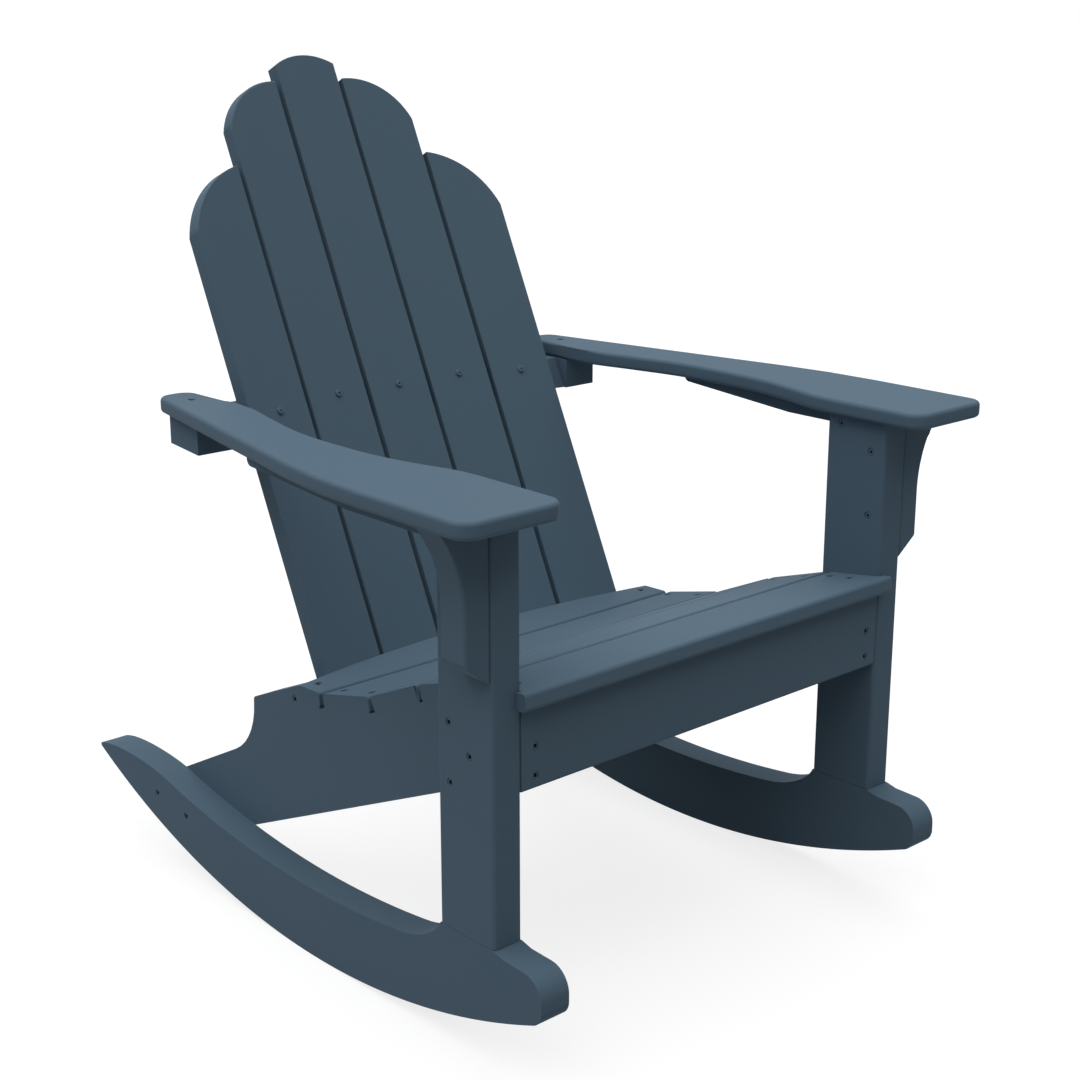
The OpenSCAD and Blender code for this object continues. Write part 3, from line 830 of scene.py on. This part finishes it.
@dataclass
class Screw:
    """A screw with a domed head, a square drive recess, a threaded shank and a point.

    Attributes:
        length: Length from the top of the head to the point.
        head_r: Radius of the head.
        head_h: Height of the head.
        dome: Radius of the rounding of its rim.
        dome_profile: Fullness of that rounding, from 0 to 1.
        dome_steps: Facets across that rounding.
        recess_r: Radius of the circle round the square drive recess.
        recess_h: Depth of the recess.
        recess_taper: Width of the recess's floor, as a share of its mouth.
        shank_r: Radius of the shank between the turns of the thread.
        crest_r: Radius of the thread.
        thread_sink: Depth to which the thread is let into the shank.
        pitch: Distance between two turns of the thread.
        thread_share: Share of the shank that the thread covers.
        thread_steps: Steps in one turn of the thread.
        point_h: Length of the point.
        point_share: Width of the point's tip, as a share of the shank's width.
        sides: Number of sides of the head and shank.
        smooth_angle: Largest angle between faces that are shaded smooth.
    """

    length: float
    head_r: float = 4.6 * MM
    head_h: float = 2.6 * MM
    dome: float = 1.2 * MM
    dome_profile: float = 0.6
    dome_steps: int = 3
    recess_r: float = 3.1 * MM
    recess_h: float = 2.2 * MM
    recess_taper: float = 0.8
    shank_r: float = 1.8 * MM
    crest_r: float = 2.3 * MM
    thread_sink: float = 0.1 * MM
    pitch: float = 2.4 * MM
    thread_share: float = 0.8
    thread_steps: int = 12
    point_h: float = 5 * MM
    point_share: float = 0.08
    sides: int = 24
    smooth_angle: float = math.radians(35)

    def build(self, finishes: list[bpy.types.Material]) -> bpy.types.Object:
        """Makes the screw, drawn down from the origin.

        Args:
            finishes: Materials of the screw and of the near-black painted shade inside its recess.

        Returns:
            The screw.
        """
        bpy.ops.object.select_all(action="DESELECT")
        middle = (0, 0, -self.head_h / 2)
        bpy.ops.mesh.primitive_cylinder_add(
            vertices=self.sides, radius=self.head_r, depth=self.head_h, location=middle
        )
        screw = bpy.context.active_object
        bpy.ops.object.transform_apply()
        bpy.ops.object.mode_set(mode="EDIT")
        mesh = bmesh.from_edit_mesh(screw.data)
        self.cut_recess(mesh)
        self.draw_shank(mesh)
        bmesh.update_edit_mesh(screw.data)
        bpy.ops.object.mode_set(mode="OBJECT")
        thread = self.build_thread()
        bpy.ops.object.select_all(action="DESELECT")
        thread.select_set(True)
        screw.select_set(True)
        bpy.context.view_layer.objects.active = screw
        bpy.ops.object.join()
        bpy.ops.object.shade_smooth_by_angle(angle=self.smooth_angle)
        for finish in finishes:
            screw.data.materials.append(finish)
        # Faces sunk inside the drive recess get the near-black painted shade.
        for face in screw.data.polygons:
            is_sunk = CLOSE < -face.center.z < self.recess_h + CLOSE
            is_painted_shade = is_sunk and face.center.xy.length < self.recess_r
            face.material_index = 1 if is_painted_shade else 0
        return screw

    def cut_recess(self, mesh: bmesh.types.BMesh) -> None:
        """Rounds the head's rim and sinks the drive recess into it.

        Args:
            mesh: Edit mesh of the head.
        """
        select_faces(mesh, lambda f: f.normal.z > FACING)
        bpy.ops.mesh.bevel(offset=self.dome, segments=self.dome_steps, profile=self.dome_profile)
        select_faces(mesh, lambda f: f.normal.z > LEVEL and len(f.verts) == self.sides)
        flat_r = self.head_r - self.dome
        bpy.ops.mesh.inset(thickness=flat_r - self.recess_r)
        for vert in (v for v in mesh.verts if v.select):
            turn = math.atan2(vert.co.y, vert.co.x)
            flat = math.cos(math.pi / 4) / max(abs(math.cos(turn)), abs(math.sin(turn)))
            vert.co.x *= flat
            vert.co.y *= flat
        bpy.ops.mesh.extrude_region_move(TRANSFORM_OT_translate={"value": (0, 0, -self.recess_h)})
        taper = (self.recess_taper, self.recess_taper, 1.0)
        bpy.ops.transform.resize(value=taper, center_override=(0, 0, -self.recess_h))

    def draw_shank(self, mesh: bmesh.types.BMesh) -> None:
        """Draws the shank and the point out of the underside of the head.

        Args:
            mesh: Edit mesh of the head.
        """
        select_faces(mesh, lambda f: f.normal.z < -FACING)
        bpy.ops.mesh.inset(thickness=self.head_r - self.shank_r)
        shank = self.length - self.head_h - self.point_h
        bpy.ops.mesh.extrude_region_move(TRANSFORM_OT_translate={"value": (0, 0, -shank)})
        bpy.ops.mesh.extrude_region_move(TRANSFORM_OT_translate={"value": (0, 0, -self.point_h)})
        taper = (self.point_share, self.point_share, 1.0)
        bpy.ops.transform.resize(value=taper, center_override=(0, 0, -self.length))

    def build_thread(self) -> bpy.types.Object:
        """Makes the ridge that winds round the shank.

        Returns:
            The ridge.
        """
        root = self.shank_r - self.thread_sink
        # From base to tip, a triangle measures 1.5 times the radius of the circle round it
        radius = (self.crest_r - root) / 1.5
        low = self.point_h - self.length
        outward = Matrix(((0, 1, 0), (0, 0, 1), (1, 0, 0))).to_euler()
        bpy.ops.object.select_all(action="DESELECT")
        bpy.ops.mesh.primitive_circle_add(
            vertices=3,
            radius=radius,
            location=(root + radius / 2, 0, low + self.pitch / 4),
            rotation=outward,
            scale=(self.pitch / 2 / (math.sqrt(3) * radius), 1, 1),
        )
        thread = bpy.context.active_object
        bpy.ops.object.transform_apply()
        winding = thread.modifiers.new("winding", "SCREW")
        winding.axis = "Z"
        winding.angle = math.tau
        winding.screw_offset = self.pitch
        shank = self.length - self.head_h - self.point_h
        winding.iterations = int(shank * self.thread_share / self.pitch)
        winding.steps = self.thread_steps
        winding.render_steps = self.thread_steps
        bpy.ops.object.modifier_apply(modifier=winding.name)
        bpy.ops.object.mode_set(mode="EDIT")
        bpy.ops.mesh.select_all(action="SELECT")
        bpy.ops.mesh.fill_holes(sides=3)
        bpy.ops.mesh.select_all(action="SELECT")
        bpy.ops.mesh.normals_make_consistent(inside=False)
        bpy.ops.object.mode_set(mode="OBJECT")
        return thread


@dataclass
class FaceScrew(Screw):
    """A screw whose domed head stands on the face of the board, with a small recess.

    Attributes:
        dome: Radius of the rounding of its rim.
        recess_r: Radius of the circle round the square drive recess.
        recess_h: Depth of the recess.
    """

    dome: float = 1.6 * MM
    recess_r: float = 1.5 * MM
    recess_h: float = 1.6 * MM


@dataclass
class BracketScrew(Screw):
    """A screw of an arm bracket, with a smaller recess.

    Attributes:
        recess_r: Radius of the circle round the square drive recess.
    """

    recess_r: float = 2.0 * MM


@dataclass
class Dowel:
    """A turned dowel with flutes along it and chamfered ends.

    Attributes:
        length: Length of the dowel.
        radius: Radius of the dowel.
        chamfer: Size of the chamfer round each end.
        flutes: Number of flutes.
        flute_depth: Depth of a flute.
        flute_band: Angle on each side of a flute's middle that sinks, in steps between flutes.
        smooth_angle: Largest angle between faces that are shaded smooth.
    """

    length: float
    radius: float = 6 * MM
    chamfer: float = 1.2 * MM
    flutes: int = 16
    flute_depth: float = 0.35 * MM
    flute_band: float = 0.1
    smooth_angle: float = math.radians(12)

    def build(self, finishes: list[bpy.types.Material]) -> bpy.types.Object:
        """Makes the dowel, drawn down from the origin.

        Args:
            finishes: Material of the dowel.

        Returns:
            The dowel.
        """
        bpy.ops.object.select_all(action="DESELECT")
        middle = (0, 0, -self.length / 2)
        bpy.ops.mesh.primitive_cylinder_add(
            vertices=3 * self.flutes, radius=self.radius, depth=self.length, location=middle
        )
        dowel = bpy.context.active_object
        bpy.ops.object.transform_apply()
        bpy.ops.object.mode_set(mode="EDIT")
        mesh = bmesh.from_edit_mesh(dowel.data)
        select_faces(mesh, lambda f: False)
        step = math.tau / self.flutes
        for vert in mesh.verts:
            turn = math.atan2(vert.co.y, vert.co.x) / step
            vert.select_set(abs(turn - round(turn)) < self.flute_band)
        shrink = 1 - self.flute_depth / self.radius
        bpy.ops.transform.resize(value=(shrink, shrink, 1.0), center_override=middle)
        select_faces(mesh, lambda f: abs(f.normal.z) > FACING)
        bpy.ops.mesh.bevel(offset=self.chamfer, segments=1)
        bmesh.update_edit_mesh(dowel.data)
        bpy.ops.object.mode_set(mode="OBJECT")
        bpy.ops.object.shade_smooth_by_angle(angle=self.smooth_angle)
        for finish in finishes:
            dowel.data.materials.append(finish)
        return dowel


@dataclass
class PinSet:
    """All the screws or dowels of one CAD node, modelled once and copied to their places.

    Attributes:
        node: CAD node that holds the plain pins.
        kind: Class of the pin.
        slot: Material slot of the record; not used.
    """

    node: str
    kind: type[Screw] | type[Dowel]
    slot: str

    def build(self, finishes: list[bpy.types.Material]) -> bpy.types.Object:
        """Makes the set as one object.

        Args:
            finishes: Materials of the pin, in the order of its material numbers.

        Returns:
            The joined pins.
        """
        places = [PinPlace.of(solid) for solid in islands(self.node)]
        model = self.kind(places[0].length).build(finishes)
        copies = []
        for place in places:
            copy = bpy.data.objects.new(f"{self.node}_set", model.data.copy())
            copy.data.transform(place.matrix())
            bpy.context.scene.collection.objects.link(copy)
            copies.append(copy)
        bpy.data.objects.remove(model)
        bpy.ops.object.select_all(action="DESELECT")
        for copy in copies:
            copy.select_set(True)
        whole = copies[0]
        bpy.context.view_layer.objects.active = whole
        if len(copies) > 1:
            bpy.ops.object.join()
        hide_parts(self.node)
        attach(whole, BODY)
        return whole


class Palette:
    """The materials of the chair, each made once."""

    def __init__(self) -> None:
        """Fixes the directions of the grain and makes the materials of the pins."""
        self.directions = {
            Run.ACROSS: Vector((1, 0, 0)),
            Run.ALONG: Vector((0, 1, 0)),
            Run.UP: Vector((0, 0, 1)),
            Run.BACK: main_direction("back_slat_3"),
        }
        self.made: dict[tuple[Lumber, Run], bpy.types.Material] = {}
        # The second screw material is painted shade for the insides of the drive recesses.
        self.screw = [SCREW_COAT.material(), SCREW_RECESS_SHADE.material()]
        self.dowel = [DOWEL_WOOD.material()]

    def lumber(self, finish: Lumber, run: Run) -> bpy.types.Material:
        """Returns the material of a finish whose grain runs in a direction.

        Args:
            finish: The lumber.
            run: The direction.

        Returns:
            The material.
        """
        key = (finish, run)
        if key not in self.made:
            self.made[key] = finish.material(run, self.directions[run])
        return self.made[key]


# The chair

SCREW_KINDS = {"upper_rail_screws": FaceScrew, "bracket_screws": BracketScrew}
SLATS = range(1, 6)


def sides(stem: str) -> list[str]:
    """Returns the names of a node on the sitter's left and right."""
    return [f"{stem}_left", f"{stem}_right"]


def chair_boards() -> list[Board]:
    """Lists every board of the chair with its finish, grain and rounding.

    Returns:
        The boards, in the order in which they are made.
    """
    frame_run = [
        *((n, Run.ALONG, 5 * MM) for n in sides("rocker")),
        *((n, Run.UP, 1 * MM) for n in sides("leg")),
        *((n, Run.ALONG, 3 * MM) for n in sides("stringer")),
        *((n, Run.ALONG, 3 * MM) for n in sides("arm_support")),
        ("upper_back_rail", Run.ACROSS, 5 * MM),
        ("lower_back_rail", Run.ACROSS, 3 * MM),
    ]
    boards = [Board(n, FRAME_LUMBER, run, r, "frame_lumber") for n, run, r in frame_run]
    boards += [Board(n, ARM_LUMBER, Run.ALONG, 5 * MM, "arm_lumber") for n in sides("arm")]
    boards += [Bracket(n, FRAME_LUMBER, Run.UP, 4 * MM, "frame_lumber") for n in sides("arm_bracket")]
    boards.append(Board("front_apron", SLAT_LUMBER, Run.ACROSS, 2 * MM, "slat_lumber"))
    for i in SLATS:
        radius = (4 if i == 1 else 3) * MM
        boards.append(SeatBoard(f"seat_slat_{i}", SLAT_LUMBER, Run.ACROSS, radius, "slat_lumber"))
        boards.append(BackBoard(f"back_slat_{i}", SLAT_LUMBER, Run.BACK, 5 * MM, "slat_lumber"))
    return boards


def build_chair(materials: Palette) -> None:
    """Makes every piece of the chair.

    Args:
        materials: Palette that gives the pieces their materials.
    """
    pieces = [board.build(materials) for board in chair_boards()]
    for node in sorted(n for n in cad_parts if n.endswith("_screws")):
        kind = SCREW_KINDS.get(node, Screw)
        pieces.append(PinSet(node, kind, "screw_steel").build(materials.screw))
    pieces.append(PinSet("leg_dowels", Dowel, "dowel_wood").build(materials.dowel))
    for piece in pieces:
        log.info("%s: %d faces", piece.name, len(piece.data.polygons))


# Stage


@dataclass(frozen=True)
class SoftSun:
    """A wide even light from one side of the sky, as from a large diffuser.

    Attributes:
        name: Name of the light.
        towards: Direction from the chair to the middle of the light.
        spread: Angle that the light covers, in degrees.
        strength: Strength, in watts on a square metre.
    """

    name: str
    towards: tuple[float, float, float]
    spread: float
    strength: float

    def build(self) -> None:
        """Adds the light to the scene."""
        data = bpy.data.lights.new(self.name, "SUN")
        data.angle = math.radians(self.spread)
        data.energy = self.strength
        lamp = bpy.data.objects.new(self.name, data)
        lamp.rotation_euler = Vector(self.towards).to_track_quat("Z", "Y").to_euler()
        bpy.context.scene.collection.objects.link(lamp)


SUNS = (
    SoftSun("overhead", (-0.1, 0.02, 1.0), 94.0, 2.7),
    SoftSun("left_fill", (-1.0, -0.15, 0.75), 70.0, 0.33),
)


def is_seen(g: Graph) -> Value:
    """Tells the rays by which the camera sees the background, also in a reflection.

    Args:
        g: Graph that the nodes are added to.

    Returns:
        1 on those rays and 0 on all others.
    """
    seen = g.node("ShaderNodeLightPath", output="Is Camera Ray")
    for kind in ("Is Glossy Ray", "Is Transmission Ray"):
        seen = seen + g.node("ShaderNodeLightPath", output=kind)
    return seen


@dataclass(frozen=True)
class Floor:
    """The pale floor, which shows white where it is lit and keeps the chair's shadow.

    Attributes:
        size: Length of its sides, in metres.
        tone: Grey of its paint, linear.
        roughness: Roughness of its paint.
        cloud_scale: Slow changes of brightness to the metre.
        cloud_share: Size of those changes.
        glow: Light that is added where the camera sees it.
    """

    size: float = 40.0
    tone: float = 0.28
    roughness: float = 0.8
    cloud_scale: float = 3.0
    cloud_share: float = 0.01
    glow: float = 0.8

    def build(self) -> None:
        """Adds the floor to the stage."""
        bpy.ops.object.select_all(action="DESELECT")
        bpy.ops.mesh.primitive_plane_add(size=self.size)
        floor = bpy.context.active_object
        floor.name = "floor"
        floor.data.materials.append(self.material())

    def material(self) -> bpy.types.Material:
        """Makes the material.

        Returns:
            The material.
        """
        g = Graph("floor_paint")
        place = g.node("ShaderNodeTexCoord", output="Object")
        clouds = g.noise(place, self.cloud_scale, detail=2.0)
        paint = g.node(
            "ShaderNodeBsdfPrincipled",
            {
                "Base Color": g.colour((self.tone,) * 3).scaled(clouds.swing(self.cloud_share) + 1.0),
                "Roughness": self.roughness,
                "Specular IOR Level": 0.0,
            },
        )
        glow = g.node("ShaderNodeEmission", {"Strength": self.glow})
        lifted = g.node("ShaderNodeAddShader", {0: paint, 1: glow})
        return g.finish(g.node("ShaderNodeMixShader", {0: is_seen(g), 1: paint, 2: lifted}))


class WorldGraph(Graph):
    """Node tree of the world."""

    def __init__(self, name: str) -> None:
        """Makes the world with an empty tree.

        Args:
            name: Name of the world.
        """
        self.world = bpy.data.worlds.new(name)
        self.world.use_nodes = True
        self.tree = self.world.node_tree
        self.tree.nodes.clear()

    def finish(self, shader: Value) -> bpy.types.World:
        """Joins the background shader to the world's output.

        Args:
            shader: The background shader.

        Returns:
            The world.
        """
        output = self.tree.nodes.new("ShaderNodeOutputWorld")
        self.tree.links.new(shader.socket, output.inputs["Surface"])
        return self.world


@dataclass(frozen=True)
class Sky:
    """The background: white where it is seen, and a soft sky everywhere else.

    Attributes:
        light: Strength of the sky as a light.
        seen: Strength of the white that is seen.
    """

    light: float = 0.09
    seen: float = 1.0

    def build(self) -> None:
        """Makes it the scene's world."""
        g = WorldGraph("studio")
        sky, white = (
            g.node("ShaderNodeBackground", {"Color": WHITE, "Strength": strength})
            for strength in (self.light, self.seen)
        )
        mixed = g.node("ShaderNodeMixShader", {0: is_seen(g), 1: sky, 2: white})
        bpy.context.scene.world = g.finish(mixed)


@dataclass(frozen=True)
class Camera:
    """The camera, where the photograph was taken from.

    Attributes:
        location: Its place, in metres.
        tilt: Angle from looking straight down, in degrees.
        turn: Angle about the upright, in degrees.
        lens: Focal length, in millimetres.
        sensor: Width of the sensor, in millimetres.
    """

    location: tuple[float, float, float] = (-1.4299, -1.6727, 1.0823)
    tilt: float = 73.555
    turn: float = -41.898
    lens: float = 62.43
    sensor: float = 36.0

    def build(self) -> None:
        """Adds the camera and makes it the scene's."""
        data = bpy.data.cameras.new("camera")
        data.sensor_width = self.sensor
        data.lens = self.lens
        camera = bpy.data.objects.new("camera", data)
        camera.location = self.location
        camera.rotation_euler = (math.radians(self.tilt), 0.0, math.radians(self.turn))
        bpy.context.scene.collection.objects.link(camera)
        bpy.context.scene.camera = camera


def build_stage() -> None:
    """Sets up the camera, background, floor and lights."""
    for piece in (Camera(), Sky(), Floor(), *SUNS):
        piece.build()
    bpy.context.scene.view_settings.view_transform = "Standard"


def main() -> None:
    """Builds the dressed chair and its studio."""
    build_stage()
    build_chair(Palette())


if __name__ == "__main__":
    main()
